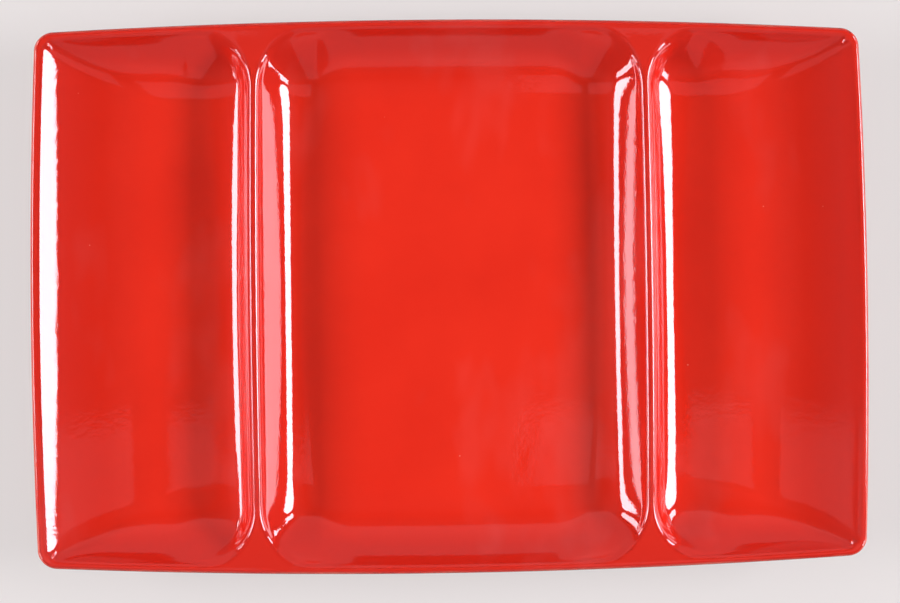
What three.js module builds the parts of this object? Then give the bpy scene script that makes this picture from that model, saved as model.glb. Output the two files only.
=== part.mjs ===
// Divided serving dish: a glazed ceramic casting with three wells parted by two dividers.
// Millimetres, +Z up, +X along the length. The origin is under the middle, on the table.
import * as THREE from 'three';

// Overall size of the glazed dish
const length = 360;
const width = 238;
const height = 26.5;

// Plan: the long sides and the ends bow outwards between rounded corners
const sideBow = 5;
const endBow = 2.5;
const cornerRadius = 7.2;

// Glass coat fused on the clay, with the seat that keeps the two solids apart
const glazeThickness = 0.5;
const glazeSeat = 0.1;

// Rim
const rimWidth = 2.6;
const rimEdgeRadius = 1.4;
const rimFace = 1.6;
const lipDrop = 1.1;

// Wells: coupe walls that fall fast at the rim and slow to a flat floor, steeper at the long sides
const wellDepth = 17;
const endWallRun = 70;
const sideWallRun = 40;
const wallEase = 3.1;
const rimCornerSharpness = 9;
const floorCornerSharpness = 3;

// Dividers: a round-edged crest, a steep flank to the side well and an easier one to the centre well
const crestFromMiddle = 85.4;
const crestDip = 2;
const crestDipRun = 34;
const crestEase = 3;
const crestRadius = 3.8;
const crestEdge = 1.2;
const crestEdgeRun = 3.4;
const flareRadius = 27;

// Each flank eases from its steep top to a round foot, and spreads towards the divider's ends
const degrees = THREE.MathUtils.degToRad;
const sideFlank = { steep: degrees(79), angle: degrees(38), foot: 19, stretch: 0.8, growth: 0.2 };
const centreFlank = { steep: degrees(46), angle: degrees(40.5), foot: 16.5, stretch: 0.1, growth: 0.8 };

// Underside: an even wall, a foot ring and a hollow under each divider
const wallThickness = 5.2;
const undersideLag = 1;
const footInset = 33;
const footWidth = 4.4;
const footBevel = 0.7;
const footDraft = 0.25;
const footCorner = 20;
const glazeLine = 1.5;
const hollowDepth = 10;
const hollowHalfWidth = 10;
const hollowShift = 4;
const hollowEndRun = 30;

// Colours and finish
const redGlaze = new THREE.MeshStandardMaterial({ color: 0xe4301e, roughness: 0.08, metalness: 0 });
const baseGlazeFinish = new THREE.MeshStandardMaterial({ color: 0xdc2f20, roughness: 0.12, metalness: 0 });
const bareClay = new THREE.MeshStandardMaterial({ color: 0xe0cdb2, roughness: 0.85, metalness: 0 });

// The clay form is the glazed dish less its coat
const coat = glazeThickness + glazeSeat;
const halfLength = length / 2 - coat;
const halfWidth = width / 2 - coat;
const rimHeight = height - coat;
const flankFall = wellDepth - crestDip - crestEdge;
const smallestCell = 0.25;

// Straight plan to real plan: squares about a corner's centre become circles, then the sides bow
function plan(x, y, halfX, halfY, radius) {
  const p = Math.abs(x) - (halfX - radius);
  const q = Math.abs(y) - (halfY - radius);
  const turn = p > 0 && q > 0 ? Math.max(p, q) / Math.hypot(p, q) : 1;
  const roundX = turn < 1 ? Math.sign(x) * (halfX - radius + p * turn) : x;
  const roundY = turn < 1 ? Math.sign(y) * (halfY - radius + q * turn) : y;
  const across = 1 - (endBow / halfLength) * (roundY / halfWidth) ** 2;
  const along = 1 - (sideBow / halfWidth) * (roundX / halfLength) ** 2;
  return [roundX * across, roundY * along];
}

// Turns a hard edge at zero into a rounded lip
function lip(rise, run) {
  if (rise <= 0) return 0;
  return rise < run ? rise ** 2 / (2 * run) : rise - run / 2;
}

// Share of the wall still to fall at a distance inside the mouth: 1 at the mouth, 0 on the floor
function wallLeft(inside, run, ease) {
  return (1 - THREE.MathUtils.clamp(inside / run, -1, 1)) ** ease;
}

// Depth of the coupe form below the rim, from the distances inside the ends and the long sides
function coupeDepth(insideX, insideY) {
  const leftX = wallLeft(insideX, endWallRun, wallEase);
  const leftY = wallLeft(insideY, sideWallRun, wallEase);
  const nearRim = Math.min(1, (leftX ** 2 + leftY ** 2) / 2);
  const sharpness = THREE.MathUtils.lerp(floorCornerSharpness, rimCornerSharpness, nearRim);
  const left = (leftX ** sharpness + leftY ** sharpness) ** (1 / sharpness);
  const lipShare = lipDrop / wellDepth;
  return wellDepth * lip(1 - left, lipShare) / (1 - lipShare / 2);
}

// Depth of a divider's crest below the rim: it dips from the rim at each end
function crestDepth(insideY) {
  const left = wallLeft(insideY, crestDipRun, crestEase);
  return crestDip * lip(1 - left, lipDrop / wellDepth);
}

// Distance down a flank from the crest, measured round the flare at each end of the divider
function flankRun(fromCrest, fromSide) {
  if (fromSide >= flareRadius) return fromCrest;
  if (fromCrest >= flareRadius) return fromSide + fromCrest - flareRadius;
  return Math.max(flareRadius - Math.hypot(flareRadius - fromCrest, flareRadius - fromSide), 0);
}

// Run of a flank's slope, between the round shoulder of the crest and the round foot
function slopeRun(flank, foot) {
  const turned = crestRadius * (1 - Math.cos(flank.steep)) + foot * (1 - Math.cos(flank.angle));
  return 2 * (flankFall - turned) / (Math.tan(flank.steep) + Math.tan(flank.angle));
}

// Share of a flank's height that is left at a run down from the crest: 1 on the crest, 0 past the foot
function flankShare(run, toEnd, flank) {
  const foot = flank.foot * (1 + flank.growth * toEnd ** 2);
  const slope = slopeRun(flank, foot);
  const down = (run - crestRadius * Math.sin(flank.steep)) / (1 + flank.stretch * toEnd ** 2);
  if (down < 0) return 1 - (crestRadius - Math.sqrt(crestRadius ** 2 - run ** 2)) / flankFall;
  if (down < slope) {
    const ease = (Math.tan(flank.steep) - Math.tan(flank.angle)) / (2 * slope);
    const shoulder = crestRadius * (1 - Math.cos(flank.steep));
    return 1 - (shoulder + down * Math.tan(flank.steep) - ease * down ** 2) / flankFall;
  }
  const reach = Math.max(slope + foot * Math.sin(flank.angle) - down, 0);
  return (foot - Math.sqrt(foot ** 2 - reach ** 2)) / flankFall;
}

// Height of the clay's upper surface over a point of the straight plan
function topHeight(x, y) {
  const fromEnd = halfLength - Math.abs(x);
  const fromSide = halfWidth - Math.abs(y);
  const fromEdge = Math.min(fromEnd, fromSide, rimEdgeRadius);
  const edge = rimEdgeRadius - Math.sqrt(rimEdgeRadius ** 2 - (rimEdgeRadius - fromEdge) ** 2);
  const insideY = fromSide - rimWidth;
  const floor = coupeDepth(fromEnd - rimWidth, insideY);
  const crest = crestDepth(Math.max(insideY, 0));
  const beyond = Math.abs(x) - crestFromMiddle;
  const run = flankRun(Math.abs(beyond), fromSide);
  const share = flankShare(run, Math.abs(y) / halfWidth, beyond > 0 ? sideFlank : centreFlank);
  const drop = Math.max(floor - crest, 0);
  const edgeDrop = Math.min(drop, crestEdge);
  const edgeShare = 1 - THREE.MathUtils.smoothstep(run, 0, crestEdgeRun);
  return rimHeight - edge - floor + (drop - edgeDrop) * share + edgeDrop * edgeShare;
}

// Height of the underside of the wall at an inset from the rim's edge
function underHeight(inset) {
  return rimHeight - wallThickness - coupeDepth(inset - undersideLag, sideWallRun);
}

// Inset at the long sides that matches an inset at the ends, as the wall there is steeper
function sideInset(inset) {
  const onWall = THREE.MathUtils.clamp(inset, rimWidth, footInset) - rimWidth;
  return inset - onWall * (1 - sideWallRun / endWallRun);
}

// Height of the base inside the foot ring, with a hollow under each divider
function baseHeight(x, y, endY) {
  const across = Math.min(1, Math.abs(Math.abs(x) - crestFromMiddle + hollowShift) / hollowHalfWidth);
  const toEnd = THREE.MathUtils.smoothstep(endY - Math.abs(y), 0, hollowEndRun);
  return underHeight(endWallRun) + hollowDepth * (1 - across ** 2) ** 2 * toEnd;
}

// Grid lines in order, without any that fall almost on another
function gridLines(positive) {
  const sorted = [0, ...positive].sort((a, b) => a - b);
  const half = sorted.filter((value, i) => i === 0 || value - sorted[i - 1] > smallestCell);
  half[half.length - 1] = sorted[sorted.length - 1];
  return [...half.slice(1).map((value) => -value).reverse(), ...half];
}

// Places between two values, at given shares of the way
function between(from, to, shares) {
  return shares.map((share) => from + (to - from) * share);
}

// Lines that turn the rim's edge, its inner lip and the plan's corners
function rimLines(half) {
  const edge = [0, 30, 60, 90].map((turn) => {
    return half - rimEdgeRadius * (1 - Math.cos(degrees(turn)));
  });
  const corner = [0, 16].map((turn) => {
    return half - cornerRadius * (1 - Math.tan(degrees(turn)));
  });
  return [...edge, half - rimWidth, ...corner];
}

// Run of a flank from the crest to where its foot meets the floor
function flankWidth(flank) {
  const turned = crestRadius * Math.sin(flank.steep) + flank.foot * Math.sin(flank.angle);
  return turned + slopeRun(flank, flank.foot);
}

const flankShares = [0.08, 0.17, 0.26, 0.36, 0.55, 0.76, 1];
const sideFootX = crestFromMiddle + flankWidth(sideFlank);
const centreFootX = crestFromMiddle - flankWidth(centreFlank);
const topLinesX = gridLines([
  ...between(0, centreFootX, [0.5, 0.86]),
  ...between(crestFromMiddle, centreFootX, [0, ...flankShares]),
  ...between(crestFromMiddle, sideFootX, flankShares),
  ...between(sideFootX, halfLength - cornerRadius, [0.2, 0.44, 0.66, 0.83, 0.94]),
  ...rimLines(halfLength),
]);
const topLinesY = gridLines([
  ...between(0, halfWidth - cornerRadius, [0.28, 0.5, 0.66, 0.77, 0.85, 0.91, 0.96]),
  ...rimLines(halfWidth),
]);

// The clay's mesh grows from shared vertices, so every patch meets the next without a seam
const lap = 16;
const vertices = [];
const addVertex = (x, y, z) => vertices.push(new THREE.Vector3(x, y, z)) - 1;

// Place of a vertex round a plan with rounded corners: four sides of a turn, a straight and a turn
function roundPlace(x, y, halfX, halfY, radius) {
  const onEnd = halfX - Math.abs(x) < halfY - Math.abs(y);
  const side = onEnd ? (x > 0 ? 0 : 2) : (y > 0 ? 1 : 3);
  const forward = [y, -x, -y, x][side];
  const straight = (onEnd ? halfY : halfX) - radius;
  const past = Math.abs(forward) - straight;
  const turn = Math.sign(forward) * (1 + Math.atan2(Math.max(past, 0), radius) / (Math.PI / 4));
  return (4 * side + 2 + (past > 0 ? turn : forward / straight)) % lap;
}

// Vertices round the edge of a grid, anticlockwise from above, with their places
function gridEdge(linesX, linesY, at, radius) {
  const halfX = linesX[linesX.length - 1];
  const halfY = linesY[linesY.length - 1];
  const edge = [];
  linesX.forEach((x, i) => linesY.forEach((y, j) => {
    const onEdge = Math.abs(x) === halfX || Math.abs(y) === halfY;
    if (onEdge) edge.push({ vertex: at[i][j], place: roundPlace(x, y, halfX, halfY, radius) });
  }));
  return edge.sort((a, b) => a.place - b.place);
}

// Two triangles for each cell of a grid, seen anticlockwise from above
function gridFaces(at) {
  const faces = [];
  for (let i = 0; i + 1 < at.length; i += 1) {
    for (let j = 0; j + 1 < at[i].length; j += 1) {
      faces.push([at[i][j], at[i + 1][j], at[i + 1][j + 1]]);
      faces.push([at[i][j], at[i + 1][j + 1], at[i][j + 1]]);
    }
  }
  return faces;
}

// A strip between two rings, of any counts, with the first ring above or outside the second
function stripFaces(upper, lower) {
  const faces = [];
  const place = (ring, i) => ring[i % ring.length].place + lap * Math.floor(i / ring.length);
  const vertex = (ring, i) => ring[i % ring.length].vertex;
  let u = 0;
  let l = 0;
  while (u < upper.length || l < lower.length) {
    const upperNext = u < upper.length ? place(upper, u + 1) : Infinity;
    const lowerNext = l < lower.length ? place(lower, l + 1) : Infinity;
    if (upperNext <= lowerNext) {
      faces.push([vertex(upper, u), vertex(lower, l), vertex(upper, u + 1)]);
      u += 1;
    } else {
      faces.push([vertex(upper, u), vertex(lower, l), vertex(lower, l + 1)]);
      l += 1;
    }
  }
  return faces;
}

// Upper surface: rim, wells and dividers
const topAt = topLinesX.map((x) => topLinesY.map((y) => {
  const [px, py] = plan(x, y, halfLength, halfWidth, cornerRadius);
  return addVertex(px, py, topHeight(x, y));
}));
const topFaces = gridFaces(topAt);
const rimRing = gridEdge(topLinesX, topLinesY, topAt, cornerRadius);

// Base inside the foot ring: a grid whose edge sets the spacing of every ring of the underside
const footInner = footInset + footWidth + 2 * (footBevel + footDraft);
const baseHalfX = halfLength - footInner;
const baseHalfY = halfWidth - sideInset(footInner);
const baseCorner = footCorner - footWidth / 2;
const cornerLines = (half) => [0, 22.5, 45].map((turn) => {
  return half - baseCorner * (1 - Math.tan(degrees(turn)));
});
const hollowX = crestFromMiddle - hollowShift;
const hollowLines = [-1, -0.66, -0.33, 0, 0.33, 0.66, 1].map((share) => hollowX + share * hollowHalfWidth);
const baseLinesX = gridLines([...hollowLines, hollowX / 2, ...cornerLines(baseHalfX)]);
const baseLinesY = gridLines([
  ...between(baseHalfY, baseHalfY - hollowEndRun, [0.5, 1]),
  ...cornerLines(baseHalfY),
]);
const baseAt = baseLinesX.map((x) => baseLinesY.map((y) => {
  const [px, py] = plan(x, y, baseHalfX, baseHalfY, baseCorner);
  return addVertex(px, py, baseHeight(x, y, baseHalfY));
}));
const baseFaces = gridFaces(baseAt).map(([a, b, c]) => [a, c, b]);
const baseRing = gridEdge(baseLinesX, baseLinesY, baseAt, baseCorner);

// A ring of the underside at an inset from the edge, at a height, with its own corner radius
function underRing(inset, z, radius) {
  const halfX = halfLength - inset;
  const halfY = halfWidth - sideInset(inset);
  return baseRing.map(({ place }) => {
    const side = Math.floor(place / 4);
    const step = place - 4 * side - 2;
    const onEnd = side % 2 === 0;
    const straight = (onEnd ? halfY : halfX) - radius;
    const turned = Math.max(Math.abs(step) - 1, 0) * Math.PI / 4;
    const reach = Math.min(Math.abs(step), 1) * straight + radius * Math.tan(turned);
    const forward = Math.sign(step) * reach;
    const x = [halfX, -forward, -halfX, forward][side];
    const y = [forward, halfY, -forward, -halfY][side];
    const [px, py] = plan(x, y, halfX, halfY, radius);
    return { vertex: addVertex(px, py, z), place };
  });
}

// Corner radius of the underside grows from the rim's to the foot ring's
function underCorner(inset) {
  return THREE.MathUtils.lerp(cornerRadius, footCorner, Math.min(inset / footInset, 1));
}

// Outside of the wall: the rim's face, its turned lower edge, the wall and the foot's outer side
const faceFoot = rimHeight - rimEdgeRadius - rimFace;
const lowerEdge = faceFoot - underHeight(rimEdgeRadius);
const quarter = Math.PI / 4;
const outerRings = [
  [0, faceFoot],
  [rimEdgeRadius * (1 - Math.cos(quarter)), faceFoot - lowerEdge * Math.sin(quarter)],
  [rimEdgeRadius, underHeight(rimEdgeRadius)],
  ...between(rimEdgeRadius, footInset, [0.16, 0.42, 0.7]).map((inset) => [inset, underHeight(inset)]),
  [footInset, underHeight(footInset)],
  [footInset + footDraft, glazeLine],
].map(([inset, z]) => underRing(inset, z, underCorner(inset)));

// Bare foot ring: its wiped sides, bevels and resting face
const footOuter = footInset + footDraft;
const footRings = [
  [footOuter, footBevel, footCorner],
  [footOuter + footBevel, 0, footCorner],
  [footOuter + footBevel + footWidth, 0, baseCorner],
  [footOuter + 2 * footBevel + footWidth, footBevel, baseCorner],
].map(([inset, z, radius]) => underRing(inset, z, radius));

// Inside of the foot ring, glazed down to the wiped line
const innerRing = underRing(footInner - footDraft, glazeLine, baseCorner);

// Strips from one ring to the next
function loftFaces(rings) {
  return rings.slice(1).flatMap((ring, i) => stripFaces(rings[i], ring));
}
const outsideFaces = loftFaces([rimRing, ...outerRings]);
const footFaces = loftFaces([outerRings[outerRings.length - 1], ...footRings, innerRing]);
const insideFaces = loftFaces([innerRing, baseRing]);
const clayFaces = [...topFaces, ...outsideFaces, ...footFaces, ...insideFaces, ...baseFaces];

// Outward direction at each vertex of the clay
const normals = vertices.map(() => new THREE.Vector3());
for (const [a, b, c] of clayFaces) {
  const edge = new THREE.Vector3().subVectors(vertices[b], vertices[a]);
  const face = new THREE.Vector3().subVectors(vertices[c], vertices[a]);
  const facing = edge.cross(face);
  [a, b, c].forEach((index) => normals[index].add(facing));
}
normals.forEach((normal) => normal.normalize());

// Geometry from points and faces, keeping only the points in use
function solid(points, faces) {
  const used = [...new Set(faces.flat())];
  const order = new Map(used.map((index, i) => [index, i]));
  const positions = used.flatMap((index) => points[index].toArray());
  const geometry = new THREE.BufferGeometry();
  geometry.setAttribute('position', new THREE.Float32BufferAttribute(positions, 3));
  geometry.setIndex(faces.flat().map((index) => order.get(index)));
  geometry.computeVertexNormals();
  return geometry;
}

// A coat over some of the clay's faces: an outer skin, an inner skin and the edges between them
function coatOver(faces) {
  const outer = vertices.map((point, i) => point.clone().addScaledVector(normals[i], coat));
  const inner = vertices.map((point, i) => point.clone().addScaledVector(normals[i], glazeSeat));
  const count = vertices.length;
  const edges = faces.flatMap(([a, b, c]) => [[a, b], [b, c], [c, a]]);
  const known = new Set(edges.map(([a, b]) => `${a},${b}`));
  const open = edges.filter(([a, b]) => !known.has(`${b},${a}`));
  return solid([...outer, ...inner], [
    ...faces,
    ...faces.map(([a, b, c]) => [a + count, c + count, b + count]),
    ...open.flatMap(([a, b]) => [[b, a, a + count], [b, a + count, b + count]]),
  ]);
}

const dish = new THREE.Group();
function place(name, geometry, material) {
  const mesh = new THREE.Mesh(geometry, material);
  mesh.name = name;
  dish.add(mesh);
}

place('clay_body', solid(vertices, clayFaces), bareClay);
place('upper_glaze', coatOver([...topFaces, ...outsideFaces]), redGlaze);
place('base_glaze', coatOver([...insideFaces, ...baseFaces]), baseGlazeFinish);

export default dish;
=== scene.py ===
import math

import bpy
import numpy as np
from mathutils import Matrix, Vector


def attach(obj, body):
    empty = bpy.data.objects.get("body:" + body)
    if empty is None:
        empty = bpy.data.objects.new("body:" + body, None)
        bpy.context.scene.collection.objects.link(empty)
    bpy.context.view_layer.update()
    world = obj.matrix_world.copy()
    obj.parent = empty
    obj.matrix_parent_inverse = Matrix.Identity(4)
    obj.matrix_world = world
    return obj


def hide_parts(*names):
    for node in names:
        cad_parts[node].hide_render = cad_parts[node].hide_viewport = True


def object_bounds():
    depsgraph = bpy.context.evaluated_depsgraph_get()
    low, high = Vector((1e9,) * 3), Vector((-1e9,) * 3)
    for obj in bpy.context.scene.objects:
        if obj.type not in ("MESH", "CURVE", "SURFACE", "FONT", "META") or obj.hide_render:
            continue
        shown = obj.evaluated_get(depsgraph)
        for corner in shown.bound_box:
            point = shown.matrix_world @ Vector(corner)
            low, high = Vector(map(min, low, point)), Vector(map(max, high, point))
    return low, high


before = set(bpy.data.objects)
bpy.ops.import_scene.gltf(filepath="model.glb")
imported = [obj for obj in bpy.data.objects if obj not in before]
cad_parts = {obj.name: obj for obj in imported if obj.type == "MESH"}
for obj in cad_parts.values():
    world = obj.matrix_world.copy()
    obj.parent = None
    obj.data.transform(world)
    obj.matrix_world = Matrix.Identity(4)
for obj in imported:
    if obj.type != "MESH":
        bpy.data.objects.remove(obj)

cad_low, cad_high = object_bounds()

# Clay body: one slip casting that holds the floor, three wells, two dividers, wall, rim and foot ring.
# It is buff clay, fired hard. The glaze hides it everywhere but on the foot ring, which is wiped bare
# before the firing so that the dish doesn't stick to the kiln shelf.
coat = 0.0006
half_length = cad_high.x - coat
half_width = cad_high.y - coat
rim_height = cad_high.z - coat
end_bow = 0.0025
side_bow = 0.005
corner_radius = 0.0072
rim_width = 0.0018
rim_edge = 0.0014
rim_face = 0.0016
lip_drop = 0.0011
well_depth = 0.017
end_wall_run = 0.070
side_wall_run = 0.040
wall_ease = 3.1
rim_corner_sharpness = 9
floor_corner_sharpness = 3
crest_from_middle = 0.0854
crest_dip = 0.002
crest_dip_run = 0.034
crest_ease = 3
crest_radius = 0.0038
crest_edge = 0.0012
crest_edge_run = 0.0034
side_flank = {
    "steep": math.radians(79),
    "angle": math.radians(38),
    "foot": 0.019,
    "stretch": 0.8,
    "growth": 0.2,
}
centre_flank = {
    "steep": math.radians(46),
    "angle": math.radians(40.5),
    "foot": 0.0165,
    "stretch": 0.1,
    "growth": 0.8,
}
flare_radius = 0.027
wall_thickness = 0.0052
underside_lag = 0.001
foot_inset = 0.033
foot_width = 0.0044
foot_bevel = 0.0007
foot_draft = 0.00025
foot_corner = 0.020
foot_root = 0.0016
foot_root_reach = 0.0018
glaze_line = 0.0015
hollow_depth = 0.010
hollow_half_width = 0.010
hollow_shift = 0.004
hollow_end_run = 0.030


def plan(x, y, half_x, half_y, radius):
    """Straight plan to real plan: squares about a corner's centre become circles, then the sides bow."""
    past_x = np.maximum(abs(x) - (half_x - radius), 0)
    past_y = np.maximum(abs(y) - (half_y - radius), 0)
    reach = np.hypot(past_x, past_y)
    turn = np.where(reach > 0, np.maximum(past_x, past_y) / np.maximum(reach, 1e-12), 1)
    x = np.sign(x) * (abs(x) - past_x * (1 - turn))
    y = np.sign(y) * (abs(y) - past_y * (1 - turn))
    across = 1 - end_bow / half_length * (y / half_width) ** 2
    along = 1 - side_bow / half_width * (x / half_length) ** 2
    return x * across, y * along


def lip(rise, run):
    """Turns a hard edge at zero into a rounded lip."""
    rise = np.maximum(rise, 0)
    return np.where(rise < run, rise ** 2 / (2 * run), rise - run / 2)


def wall_left(inside, run, ease):
    """Share of a wall still to fall at a distance inside the mouth: 1 at the mouth, 0 on the floor."""
    return (1 - np.clip(inside / run, -1, 1)) ** ease


def coupe_depth(inside_x, inside_y):
    """Depth of the wells' curved wall below the rim."""
    left_x = wall_left(inside_x, end_wall_run, wall_ease)
    left_y = wall_left(inside_y, side_wall_run, wall_ease)
    near_rim = np.minimum(1, (left_x ** 2 + left_y ** 2) / 2)
    sharpness = floor_corner_sharpness + (rim_corner_sharpness - floor_corner_sharpness) * near_rim
    left = (left_x ** sharpness + left_y ** sharpness) ** (1 / sharpness)
    share = lip_drop / well_depth
    return well_depth * lip(1 - left, share) / (1 - share / 2)


def flank_run(from_crest, from_side):
    """Distance down a flank from the crest, measured round the flare at the divider's end."""
    turned = flare_radius - np.hypot(flare_radius - from_crest, flare_radius - from_side)
    run = np.where(from_crest >= flare_radius, from_side + from_crest - flare_radius, turned)
    return np.maximum(np.where(from_side >= flare_radius, from_crest, run), 0)


def flank_share(run, to_end, flank):
    """Share of a divider's height that is left at a run down its flank: 1 on the crest, 0 past the foot."""
    steep, angle = flank["steep"], flank["angle"]
    foot = flank["foot"] * (1 + flank["growth"] * to_end ** 2)
    fall = well_depth - crest_dip - crest_edge
    slope_top = fall - crest_radius * (1 - math.cos(steep))
    slope_run = 2 * (slope_top - foot * (1 - math.cos(angle))) / (math.tan(steep) + math.tan(angle))
    down = (run - crest_radius * math.sin(steep)) / (1 + flank["stretch"] * to_end ** 2)
    rounded = fall - crest_radius + np.sqrt(np.maximum(crest_radius ** 2 - run ** 2, 0))
    ease = (math.tan(steep) - math.tan(angle)) / (2 * slope_run)
    slope = slope_top - down * math.tan(steep) + ease * down ** 2
    reach = np.maximum(slope_run + foot * math.sin(angle) - down, 0)
    foot_arc = foot - np.sqrt(np.maximum(foot ** 2 - reach ** 2, 0))
    return np.where(down < 0, rounded, np.where(down < slope_run, slope, foot_arc)) / fall


def top_height(x, y):
    """Height of the clay's upper surface over the straight plan."""
    from_end = half_length - abs(x)
    from_side = half_width - abs(y)
    turned = rim_edge - np.minimum(np.minimum(from_end, from_side), rim_edge)
    edge = rim_edge - np.sqrt(np.maximum(rim_edge ** 2 - turned ** 2, 0))
    inside_y = from_side - rim_width
    floor = coupe_depth(from_end - rim_width, inside_y)
    crest_left = wall_left(np.maximum(inside_y, 0), crest_dip_run, crest_ease)
    crest = crest_dip * lip(1 - crest_left, lip_drop / well_depth)
    beyond = abs(x) - crest_from_middle
    run = flank_run(abs(beyond), from_side)
    to_end = abs(y) / half_width
    share = np.where(beyond > 0, flank_share(run, to_end, side_flank), flank_share(run, to_end, centre_flank))
    drop = np.maximum(floor - crest, 0)
    edge_drop = np.minimum(drop, crest_edge)
    along = np.minimum(run / crest_edge_run, 1)
    edge_left = 1 - along ** 2 * (3 - 2 * along)
    return rim_height - edge - floor + (drop - edge_drop) * share + edge_drop * edge_left


def under_height(inset):
    """Height of the underside of the wall at an inset from the rim's edge."""
    return rim_height - wall_thickness - coupe_depth(inset - underside_lag, side_wall_run)


def side_inset(inset):
    """Inset at the long sides that matches an inset at the ends, as the wall there is steeper."""
    on_wall = min(max(inset, rim_width), foot_inset) - rim_width
    return inset - on_wall * (1 - side_wall_run / end_wall_run)


def base_height(x, y, half_y):
    """Height of the base inside the foot ring, with a hollow under each divider."""
    across = np.minimum(1, abs(abs(x) - crest_from_middle + hollow_shift) / hollow_half_width)
    to_end = np.clip((half_y - abs(y)) / hollow_end_run, 0, 1)
    to_end = to_end ** 2 * (3 - 2 * to_end)
    return under_height(end_wall_run) + hollow_depth * (1 - across ** 2) ** 2 * to_end


def grid_lines(*stretches):
    """Grid lines on both sides of the middle, from stretches of (end, spacing)."""
    half = [np.zeros(1)]
    for end, spacing in stretches:
        start = half[-1][-1]
        count = max(1, round((end - start) / spacing))
        half.append(start + (end - start) * np.arange(1, count + 1) / count)
    half = np.concatenate(half)
    return np.concatenate([-half[:0:-1], half])


# Lines of the upper surface, close together on the dividers, their flares and the rim
floor_step = 0.003
flank_step = 0.0013
crest_step = 0.0005
lip_step = 0.0006
edge_step = 0.0002
centre_flank_reach = 0.029
side_flank_reach = 0.021
crest_reach = 0.007
flare_reach = 0.046
corner_reach = 0.016
lines_x = grid_lines(
    (crest_from_middle - centre_flank_reach, floor_step),
    (crest_from_middle - crest_reach, flank_step),
    (crest_from_middle, crest_step),
    (crest_from_middle + crest_reach, crest_step),
    (crest_from_middle + side_flank_reach, flank_step),
    (half_length - corner_reach, floor_step),
    (half_length - corner_radius, flank_step),
    (half_length - rim_width, lip_step),
    (half_length - rim_edge, lip_step),
    (half_length, edge_step),
)
lines_y = grid_lines(
    (half_width - flare_reach, floor_step),
    (half_width - corner_radius, flank_step),
    (half_width - rim_width, lip_step),
    (half_width - rim_edge, lip_step),
    (half_width, edge_step),
)
grid_x, grid_y = np.meshgrid(lines_x, lines_y, indexing="ij")
top_plan = plan(grid_x, grid_y, half_length, half_width, corner_radius)
top_points = np.stack([*top_plan, top_height(grid_x, grid_y)], axis=-1).reshape(-1, 3)
top_index = np.arange(grid_x.size).reshape(grid_x.shape)
top_faces = np.stack(
    [top_index[:-1, :-1], top_index[1:, :-1], top_index[1:, 1:], top_index[:-1, 1:]], axis=-1
).reshape(-1, 4)

# The grid's edge, anticlockwise from the middle of the right end, is the first ring of the outside
middle = len(lines_y) // 2
edge_ring = np.concatenate([
    top_index[-1, middle:], top_index[-2::-1, -1], top_index[0, -2::-1],
    top_index[1:, 0], top_index[-1, 1:middle],
])
edge_x, edge_y = grid_x.ravel()[edge_ring], grid_y.ravel()[edge_ring]
on_end = half_length - abs(edge_x) < half_width - abs(edge_y)
edge_straight = np.where(on_end, half_width, half_length) - corner_radius
edge_along = np.where(on_end, edge_y, edge_x)
edge_turned = np.arctan2(np.maximum(abs(edge_along) - edge_straight, 0), corner_radius)
edge_share = np.clip(edge_along / edge_straight, -1, 1)


def inner_ring(inset, radius):
    """Straight plan of a ring at an inset from the edge, with its own corner radius."""
    half_x, half_y = half_length - inset, half_width - side_inset(inset)
    along = edge_share * (np.where(on_end, half_y, half_x) - radius)
    along = along + np.sign(edge_along) * radius * np.tan(edge_turned)
    x = np.where(on_end, np.sign(edge_x) * half_x, along)
    y = np.where(on_end, along, np.sign(edge_y) * half_y)
    return x, y, half_x, half_y, radius


def rounded_profile(corners, steps=6):
    """Points of a section line whose corners, given as (inset, height, radius), are turned as arcs."""
    line = []
    for i, (inset, z, radius) in enumerate(corners):
        here = Vector((inset, z))
        if radius == 0:
            line.append(here)
            continue
        back = (Vector(corners[i - 1][:2]) - here).normalized()
        ahead = (Vector(corners[i + 1][:2]) - here).normalized()
        half_angle = back.angle(ahead) / 2
        centre = here + (back + ahead).normalized() * radius / math.sin(half_angle)
        start = here + back * radius / math.tan(half_angle) - centre
        swing = start.angle_signed(here + ahead * radius / math.tan(half_angle) - centre)
        for step in range(steps + 1):
            line.append(centre + Matrix.Rotation(-swing * step / steps, 2) @ start)
    return line


# Section of the outside, from the rim's face under the wall to the line where the glaze stops
wall_rings = 16
wall_crowding = 1.3
face_foot = rim_height - rim_edge - rim_face
lower_edge = face_foot - under_height(rim_edge)
edge_turns = np.radians(np.arange(0, 90, 18))
wall_end = foot_inset - foot_root_reach
wall_shares = np.linspace(0, 1, wall_rings, endpoint=False) ** wall_crowding
wall_insets = rim_edge + (wall_end - rim_edge) * wall_shares
outside_section = [(0, face_foot + rim_face / 2)]
outside_section += [(rim_edge * (1 - math.cos(t)), face_foot - lower_edge * math.sin(t)) for t in edge_turns]
outside_section += [(inset, float(under_height(inset))) for inset in wall_insets]
outside_section += rounded_profile([
    (wall_end, float(under_height(wall_end)), 0),
    (foot_inset, float(under_height(foot_inset)), foot_root),
    (foot_inset + foot_draft, glaze_line, 0),
])

# Section of the bare foot ring, and of its inside up to the base
foot_outer = foot_inset + foot_draft
foot_inner = foot_outer + 2 * foot_bevel + foot_width
base_edge = foot_inner + foot_draft
foot_section = rounded_profile([
    (foot_outer, glaze_line, 0),
    (foot_outer, foot_bevel, foot_bevel / 3),
    (foot_outer + foot_bevel, 0, foot_bevel),
    (foot_inner - foot_bevel, 0, foot_bevel),
    (foot_inner, foot_bevel, foot_bevel / 3),
    (foot_inner, glaze_line, 0),
])[1:]
base_floor = float(under_height(end_wall_run))
inside_section = rounded_profile([
    (foot_inner, glaze_line, 0),
    (base_edge, base_floor, foot_root / 2),
    (base_edge + foot_root_reach, base_floor, 0),
])[1:]


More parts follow.
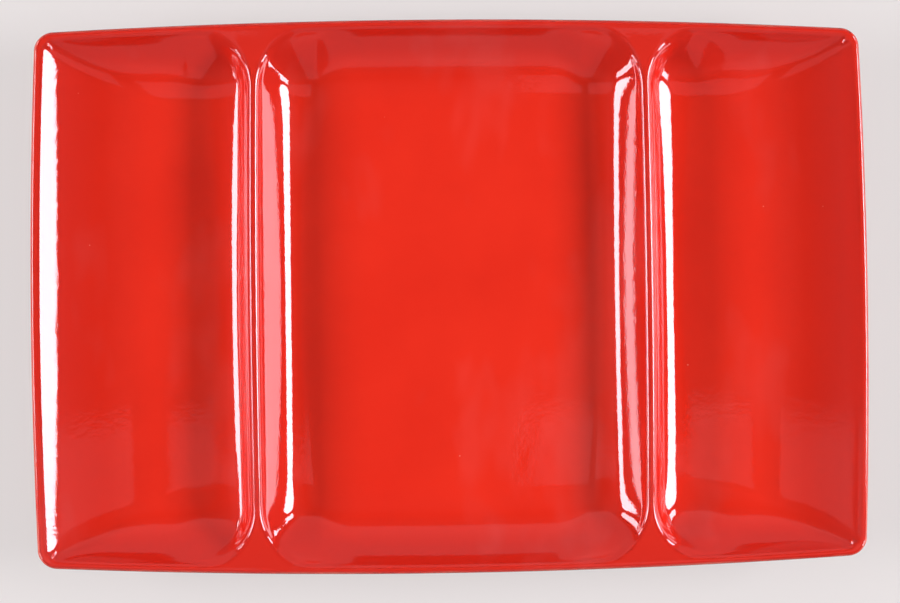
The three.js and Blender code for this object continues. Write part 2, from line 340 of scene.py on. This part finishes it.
def under_corner(inset):
    """Corner radius of the underside, which grows from the rim's to the foot ring's."""
    return corner_radius + (foot_corner - corner_radius) * min(inset / foot_inset, 1)


def section_rings(section):
    """Rings of points that carry a section line round the dish."""
    rings = []
    for inset, z in section:
        x, y = plan(*inner_ring(inset, under_corner(inset)))
        rings.append(np.stack([x, y, np.full(x.shape, z)], axis=-1))
    return rings


# The base closes in, ring by ring, on a narrow strip along the dish's long middle line
base_ring_count = 48
strip_half_width = 0.001
strip_corner = 0.0003
base_start = inside_section[-1][0]
base_half_width = half_width - side_inset(base_start)
base_rings = []
for shut in np.arange(1, base_ring_count + 1) / base_ring_count:
    inset = base_start + (base_half_width - strip_half_width) * shut
    radius = foot_corner * (1 - shut) + strip_corner * shut
    base_x, base_y = plan(*inner_ring(inset, radius))
    height = base_height(base_x, base_y, base_half_width)
    base_rings.append(np.stack([base_x, base_y, height], axis=-1))

outside_rings = section_rings(outside_section)
foot_rings = section_rings(foot_section)
inside_rings = section_rings(inside_section) + base_rings
ring_size = len(edge_ring)
under_points = np.concatenate(outside_rings + foot_rings + inside_rings)
points = np.concatenate([top_points, under_points])
ring_index = np.concatenate(
    [edge_ring, len(top_points) + np.arange(len(under_points))]
).reshape(-1, ring_size)


def strip_faces(rings):
    """Quads between each ring and the next."""
    here, ahead = rings[:-1], rings[1:]
    quads = [here, ahead, np.roll(ahead, -1, axis=1), np.roll(here, -1, axis=1)]
    return np.stack(quads, axis=-1).reshape(-1, 4)


glaze_edge = len(outside_rings)
base_glaze_edge = glaze_edge + len(foot_rings)
outside_faces = strip_faces(ring_index[:glaze_edge + 1])
foot_faces = strip_faces(ring_index[glaze_edge:base_glaze_edge + 1])
base_faces = strip_faces(ring_index[base_glaze_edge:])
last = ring_index[-1]
half_ring = ring_size // 2
closing_faces = [[last[i], last[-i], last[-i - 1], last[i + 1]] for i in range(1, half_ring - 1)]
closing_faces.append([last[0], last[-1], last[1]])
closing_faces.append([last[half_ring - 1], last[half_ring + 1], last[half_ring]])


def make_piece(name, piece_points, faces, material):
    """A smooth mesh object from points and faces."""
    mesh = bpy.data.meshes.new(name)
    mesh.from_pydata(piece_points.tolist(), [], faces)
    mesh.shade_smooth()
    mesh.materials.append(material)
    piece = bpy.data.objects.new(name, mesh)
    bpy.context.scene.collection.objects.link(piece)
    return piece


class Finish:
    """A material in the making: its shader, and a way to add and join nodes."""

    def __init__(self, name):
        self.material = bpy.data.materials.new(name)
        self.material.use_nodes = True
        self.tree = self.material.node_tree
        self.shader = self.tree.nodes["Principled BSDF"]
        self.place = self.add("TexCoord").outputs["Object"]

    def add(self, kind, settings=None, **inputs):
        """A node with its settings and inputs; an input named _0, _1 and so on goes by its number."""
        node = self.tree.nodes.new("ShaderNode" + kind)
        for key, value in (settings or {}).items():
            setattr(node, key, value)
        for key, value in inputs.items():
            socket = node.inputs[int(key[1:]) if key[1:].isdigit() else key.replace("_", " ")]
            self.feed(value, socket)
        return node

    def feed(self, value, socket):
        """Joins an output to a socket, or sets the socket to a plain value."""
        if isinstance(value, bpy.types.NodeSocket):
            self.tree.links.new(value, socket)
        else:
            socket.default_value = value

    def set(self, socket, value):
        """Gives one of the shader's sockets its value."""
        self.feed(value, self.shader.inputs[socket])

    def noise(self, scale, detail=2.0, roughness=0.5, place=None):
        """Soft noise at a scale in cycles per metre."""
        where = place or self.place
        node = self.add("TexNoise", Vector=where, Scale=scale, Detail=detail, Roughness=roughness)
        return node.outputs["Fac"]

    def between(self, value, low, high, start, end):
        """Maps a value from low..high to start..end."""
        node = self.add("MapRange", Value=value, From_Min=low, From_Max=high, To_Min=start, To_Max=end)
        return node.outputs["Result"]

    def blend(self, share, first, second):
        """A colour that goes from the first to the second with a share."""
        return self.add("Mix", {"data_type": "RGBA"}, _0=share, _6=first, _7=second).outputs[2]

    def sum_up(self, operation, first, second=0.0, clamp=False):
        """One sum on two values."""
        return self.add("Math", {"operation": operation, "use_clamp": clamp}, _0=first, _1=second).outputs[0]

    def bump(self, height, depth, strength=1.0, inward=False, under=None):
        """Relief of a depth in metres, over an earlier relief if there is one."""
        node = self.add("Bump", {"invert": inward}, Height=height, Strength=strength, Distance=depth)
        if under:
            self.feed(under, node.inputs["Normal"])
        return node.outputs["Normal"]


clay_pale = (0.74, 0.60, 0.44, 1)
clay_warm = (0.66, 0.53, 0.39, 1)
clay_dark = (0.52, 0.38, 0.25, 1)
grain_scale = 2600.0
grain_depth = 0.00015
grog_scale = 900.0
grog_core, grog_rim = 0.08, 0.2
grog_strength = 0.55
clay_smooth, clay_rough = 0.78, 0.95
clay = Finish("bare_clay")
clay_grain = clay.noise(grain_scale, detail=3.0, roughness=0.7)
clay_grog = clay.add("TexVoronoi", Vector=clay.place, Scale=grog_scale).outputs["Distance"]
clay_tone = clay.blend(clay.noise(70.0, detail=4.0), clay_pale, clay_warm)
clay_speck = clay.between(clay_grog, grog_core, grog_rim, grog_strength, 0.0)
clay.set("Base Color", clay.blend(clay_speck, clay_tone, clay_dark))
clay.set("Roughness", clay.between(clay_grain, 0.0, 1.0, clay_smooth, clay_rough))
clay.set("Normal", clay.bump(clay_grain, grain_depth, strength=0.5))

clay_faces = np.concatenate([top_faces, outside_faces, foot_faces, base_faces]).tolist() + closing_faces
clay_body = make_piece("clay_body_fired", points, clay_faces, clay.material)
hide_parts("clay_body")
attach(clay_body, "root")

# Upper glaze: a coat of red glass, melted on to the wells, dividers, rim and outside of the wall.
# It is poured and dipped, so it lies in slow swells, thins where it breaks over the rim's edge and stops
# in a soft bead at the wiped foot ring. Its red is darker on steep and high places: partly glaze that
# drains thin there, partly painted shade on the walls, flanks and rim.
glaze_seat = 0.0001
bead_run = 0.0012
bead_start = 0.02
swell_depth = 0.000025
swell_waves = 14
swell_lengths = (0.016, 0.07)
swell_seed = 4
thin_line = 0.3 * rim_edge
thin_spread = 0.0005
thin_strength = 0.3
cloud_scale = 22.0
# Darker red on high and steep places: partly drained glaze, partly painted shade.
drain_and_shade_share = 0.7
drain_and_shade_slope = math.radians(45)
# Faint pale streaks in the red.
streak_scale = 24.0
streak_stretch = (1, 0.4, 1)
streak_start, streak_full = 0.57, 0.66
streak_strength = 0.012
pinhole_scale = 75.0
pinhole_rarity = 0.62
pinhole_core, pinhole_rim = 0.012, 0.03
pinhole_strength = 0.55
pinhole_depth = 0.00005
peel_scale, peel_depth = 240.0, 0.000025
ripple_scale, ripple_depth = 800.0, 0.000014
gloss_smooth, gloss_rough = 0.02, 0.05
level_deep = (0.72, 0.0185, 0.0045, 1)
level_bright = (0.78, 0.0235, 0.0065, 1)
# The darker red of high and steep places: partly drained glaze, partly painted shade.
drained_and_shaded_red = (0.61, 0.0190, 0.0090, 1)
streak_pale = (1, 0.9, 0.85, 1)
edge_pale = (0.80, 0.42, 0.26, 1)
pinhole_pale = (0.86, 0.36, 0.24, 1)
normals = np.empty(points.size)
clay_body.data.vertices.foreach_get("normal", normals)
normals = normals.reshape(-1, 3)


def swell(spots):
    """How far the run glaze dips below its full coat, from 0 to 1: a few slow crossing waves."""
    chance = np.random.default_rng(swell_seed)
    total = np.zeros(len(spots))
    for _ in range(swell_waves):
        heading = chance.normal(size=3)
        heading /= np.linalg.norm(heading)
        wave_length = chance.uniform(*swell_lengths)
        total += np.sin(2 * math.pi * (spots @ heading) / wave_length + chance.uniform(0, 2 * math.pi))
    return 0.5 + 0.5 * np.tanh(total / math.sqrt(swell_waves))


def glaze_coat(name, faces, edge, closing, material):
    """A closed coat over some of the clay's faces: outer skin, inner skin and the edge at the foot."""
    used = np.unique(np.concatenate([faces.ravel(), edge]))
    order = np.zeros(len(points), dtype=int)
    order[used] = np.arange(len(used))
    spots, facing = points[used], normals[used]
    bead = np.clip((spots[:, 2] - glaze_line) / bead_run, bead_start, 1)
    full = glaze_seat + (coat - glaze_seat) * np.sqrt(1 - (1 - bead) ** 2) - swell_depth * swell(spots) * bead
    outer = spots + facing * full[:, None]
    inner = spots + facing * glaze_seat
    count = len(used)
    outside = order[faces].tolist() + [order[face].tolist() for face in closing]
    inside = [[i + count for i in reversed(face)] for face in outside]
    ring = order[edge]
    ahead = np.roll(ring, -1)
    shut = np.stack([ring, ring + count, ahead + count, ahead], axis=-1).tolist()
    return make_piece(name, np.concatenate([outer, inner]), outside + inside + shut, material), used


def red_glaze(name, deep, bright, drained_and_shaded):
    """Gloss red glass: clouds of colour, darker high and steep parts for drained glaze and painted shade,
    faint pale streaks, pinholes, orange peel.
    """
    glaze = Finish(name)
    clouds = glaze.noise(cloud_scale, detail=3.0, roughness=0.55)
    level_red = glaze.blend(glaze.between(clouds, 0.3, 0.7, 0.0, 1.0), deep, bright)
    height = glaze.add("SeparateXYZ", Vector=glaze.place).outputs["Z"]
    upright = glaze.add("SeparateXYZ", Vector=glaze.add("NewGeometry").outputs["Normal"]).outputs["Z"]
    slope = glaze.sum_up("ARCCOSINE", upright)
    # Painted shade, partly real: the red darkens with height and steepness, for glaze that drains thin there
    # and for shade on walls, flanks and rim.
    drain_and_shade_high = glaze.between(height, rim_height - well_depth, rim_height, 0.0, drain_and_shade_share)
    drain_and_shade_steep = glaze.between(slope, 0.0, drain_and_shade_slope, 0.0, drain_and_shade_share)
    red = glaze.blend(glaze.sum_up("ADD", drain_and_shade_high, drain_and_shade_steep, clamp=True), level_red, drained_and_shaded)
    # Faint pale streaks, stretched along the dish's width, mixed in at a low share.
    streak_place = glaze.add("Mapping", Vector=glaze.place, Scale=streak_stretch).outputs["Vector"]
    pale_streaks = glaze.noise(streak_scale, detail=3.0, roughness=0.6, place=streak_place)
    red = glaze.blend(glaze.between(pale_streaks, streak_start, streak_full, 0.0, streak_strength), red, streak_pale)
    thin = glaze.add("Attribute", {"attribute_name": "thin_glaze"}).outputs["Fac"]
    broken = glaze.sum_up("MULTIPLY", thin, glaze.noise(60.0))
    red = glaze.blend(glaze.between(broken, 0.3, 0.75, 0.0, thin_strength), red, edge_pale)
    holes = glaze.add("TexVoronoi", Vector=glaze.place, Scale=pinhole_scale).outputs
    chosen = glaze.sum_up("GREATER_THAN", holes["Color"], pinhole_rarity)
    hole = glaze.between(holes["Distance"], pinhole_core, pinhole_rim, 1.0, 0.0)
    pinhole = glaze.sum_up("MULTIPLY", hole, chosen)
    red = glaze.blend(glaze.sum_up("MULTIPLY", pinhole, pinhole_strength), red, pinhole_pale)
    peel = glaze.bump(glaze.noise(peel_scale), peel_depth)
    ripple = glaze.bump(glaze.noise(ripple_scale, detail=1.0), ripple_depth, under=peel)
    glaze.set("Base Color", red)
    glaze.set("Roughness", glaze.between(clouds, 0.0, 1.0, gloss_smooth, gloss_rough))
    glaze.set("IOR", 1.5)
    glaze.set("Normal", glaze.bump(pinhole, pinhole_depth, strength=0.6, inward=True, under=ripple))
    return glaze.material


upper_red = red_glaze("red_glaze", level_deep, level_bright, drained_and_shaded_red)
upper_skin = np.concatenate([top_faces, outside_faces])
upper_glaze, used = glaze_coat("upper_glaze_coat", upper_skin, ring_index[glaze_edge], [], upper_red)
from_edge = np.minimum(half_length - abs(grid_x), half_width - abs(grid_y)).ravel()
thin_on_top = np.exp(-((from_edge - thin_line) / thin_spread) ** 2)
thin = np.concatenate([thin_on_top, np.zeros(len(under_points))])[used]
attribute = upper_glaze.data.attributes.new("thin_glaze", "FLOAT", "POINT")
attribute.data.foreach_set("value", np.concatenate([thin, thin]))
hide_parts("upper_glaze")
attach(upper_glaze, "root")

# Base glaze: the same red glass under the dish, poured inside the foot ring and over the hollows
# below the dividers. It lies a little darker, and stops at the wiped ring as well.
base_deep = (0.62, 0.0160, 0.0045, 1)
base_bright = (0.68, 0.0205, 0.0060, 1)
# Darker red for steep places, which the downward-facing base takes in full: partly drained glaze, partly
# painted shade.
base_drained_and_shaded = (0.53, 0.0170, 0.0080, 1)
base_red = red_glaze("base_red_glaze", base_deep, base_bright, base_drained_and_shaded)
base_ring = ring_index[base_glaze_edge][::-1]
base_glaze = glaze_coat("base_glaze_coat", base_faces, base_ring, closing_faces, base_red)[0]
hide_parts("base_glaze")
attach(base_glaze, "root")

# Table top: a plain pale matt sheet that the dish stands on, with no part in the object.
# It keeps the dish's shadow, and a faint glow that only the view and the gloss see makes it pale.
table_half = 4.0
table_gap = 0.0002
table_tone = (0.235, 0.235, 0.22, 1)
table_light_tone = (0.25, 0.25, 0.235, 1)
table_glow = (1, 0.95, 0.945, 1)
table_paleness = 0.54
table = Finish("pale_table")
table.set("Base Color", table.blend(table.noise(9.0, detail=4.0), table_tone, table_light_tone))
table.set("Roughness", 0.9)
table.set("Specular IOR Level", 0.0)
path = table.add("LightPath").outputs
seen = table.sum_up("MAXIMUM", path["Is Camera Ray"], path["Is Glossy Ray"])
seen = table.sum_up("MAXIMUM", seen, path["Is Transmission Ray"])
table.set("Emission Color", table_glow)
table.set("Emission Strength", table.sum_up("MULTIPLY", seen, table_paleness))
table_points = np.array([[-1, -1, 0], [1, -1, 0], [1, 1, 0], [-1, 1, 0]]) * table_half
table_points[:, 2] = -table_gap
table_top = make_piece("table_top", table_points, [[0, 1, 2, 3]], table.material)

# Light: a soft box stands low on each side, with a grid that keeps its light on the dish. The gloss of
# the glaze shows pale cards in front of it: an oval one, a short one past each end of that, a low strip
# and one overhead. A card beyond each long side lights the long walls, in a room that is dark overhead.
lamp_tint = (1, 0.92, 1.0)
box_reach = 2.0
box_size = (1.2, 0.45)
box_spread = math.radians(60)
card_reach = 0.8
card_middle = 0.055
card_wide = 0.42
end_card_shift = 0.44
end_card_wide = 0.2
end_card_tall_share = 0.8
end_card_watt_share = 0.4
strip_wide = 1.2
ceiling_place = (1.1, -0.4, 1.5)
ceiling_size = (1.9, 0.62)
ceiling_watts = 1.4


def soft_card(name, place, facing, size, watts, shape="RECTANGLE"):
    """A flat card that shines one way, out of the camera's sight."""
    lamp = bpy.data.lights.new(name, "AREA")
    lamp.shape = shape
    lamp.size, lamp.size_y = size
    lamp.energy = watts
    lamp.color = lamp_tint
    card = bpy.data.objects.new(name, lamp)
    card.location = place
    card.rotation_euler = Vector(facing).to_track_quat("-Z", "Y").to_euler()
    card.visible_camera = False
    bpy.context.scene.collection.objects.link(card)
    return card


def gloss_card(name, place, facing, size, watts, shape="RECTANGLE"):
    """A card that shows in the gloss of the glaze and lights nothing else."""
    card = soft_card(name, place, facing, size, watts, shape)
    card.visible_diffuse = False


def soft_box(name, place, watts):
    """A box with a grid that lights the dish, which the gloss doesn't show."""
    box = soft_card(name, place, -Vector(place), box_size, watts)
    box.data.spread = box_spread
    box.visible_glossy = False


def light_side(side, sign, box, card, strip):
    """One side's soft box as (height, watts), and its card and low strip as (height, tall, watts)."""
    box_height, box_watts = box
    card_height, card_tall, card_watts = card
    strip_height, strip_tall, strip_watts = strip
    inward = (-sign, 0, 0)
    soft_box(f"{side}_soft_box", (sign * box_reach, 0, box_height), box_watts)
    card_place = (sign * card_reach, card_middle, card_height)
    gloss_card(f"{side}_card", card_place, inward, (card_wide, card_tall), card_watts, "ELLIPSE")
    for end, along in (("near", -1), ("far", 1)):
        end_place = (sign * card_reach, card_middle + along * end_card_shift, card_height)
        end_size = (end_card_wide, end_card_tall_share * card_tall)
        gloss_card(f"{side}_{end}_end_card", end_place, inward, end_size, end_card_watt_share * card_watts)
    strip_place = (sign * card_reach, 0, strip_height)
    gloss_card(f"{side}_low_strip", strip_place, inward, (strip_wide, strip_tall), strip_watts)
    overhead = (sign * ceiling_place[0], *ceiling_place[1:])
    gloss_card(f"{side}_ceiling_card", overhead, (0, 0, -1), ceiling_size, ceiling_watts)


light_side("right", 1, box=(0.95, 7.9), card=(0.525, 0.39, 10.3), strip=(0.09, 0.15, 3.4))
light_side("left", -1, box=(0.85, 6.4), card=(0.405, 0.21, 4.5), strip=(0.19, 0.06, 1.8))
long_side_reach = 4.2
long_side_height = 2.52
long_side_tall = 4.55
far_wide, far_watts = 7.7, 49
near_wide, near_watts = 2.45, 12.3
far_place = (0, long_side_reach, long_side_height)
near_place = (0, -long_side_reach, long_side_height)
soft_card("far_card", far_place, (0, -1, 0), (far_wide, long_side_tall), far_watts)
soft_card("near_card", near_place, (0, 1, 0), (near_wide, long_side_tall), near_watts)

# Room: soft light from all round, by the upward share of its direction: dim low down, paler above the
# cards, darker towards the top and a little paler straight overhead.
room_lights = ((0.45, 0.10), (0.62, 0.22), (0.90, 0.10), (0.97, 0.20))
room = bpy.data.worlds.new("room")
room.use_nodes = True
bpy.context.scene.world = room
room_nodes, room_links = room.node_tree.nodes, room.node_tree.links
heading = room_nodes.new("ShaderNodeTexCoord")
parts = room_nodes.new("ShaderNodeSeparateXYZ")
ramp = room_nodes.new("ShaderNodeValToRGB")
room_links.new(heading.outputs["Generated"], parts.inputs[0])
room_links.new(parts.outputs["Z"], ramp.inputs["Fac"])
room_links.new(ramp.outputs["Color"], room_nodes["Background"].inputs["Color"])
ramp.color_ramp.elements.remove(ramp.color_ramp.elements[-1])
ramp.color_ramp.elements[0].position = room_lights[0][0]
for upward, _ in room_lights[1:]:
    ramp.color_ramp.elements.new(upward)
for element, (_, light) in zip(ramp.color_ramp.elements, room_lights):
    element.color = (light, light, light, 1)

# Camera: almost straight above, leaning a little to the left and to the near side, with a long lens
# that keeps the dish's outline nearly square on.
view_distance = 0.9
lean_left = math.radians(2.59)
lean_near = math.radians(1.535)
roll = math.radians(0.708)
aim = Vector((-0.00133, -0.00266, cad_high.z))
back = Vector((-math.sin(lean_left), -math.sin(lean_near), 0))
back.z = math.sqrt(1 - back.length_squared)
lens = bpy.data.cameras.new("camera")
lens.lens = 84
lens.sensor_width = 36
camera = bpy.data.objects.new("camera", lens)
stand = Vector((0, 0, cad_high.z)) + back * view_distance
away = (stand - aim).normalized()
across = Vector((0, 1, 0)).cross(away).normalized()
turn = Matrix((across, away.cross(across), away)).transposed() @ Matrix.Rotation(-roll, 3, "Z")
camera.matrix_world = Matrix.Translation(stand) @ turn.to_4x4()
bpy.context.scene.collection.objects.link(camera)
bpy.context.scene.camera = camera
bpy.context.scene.view_settings.view_transform = "Standard"
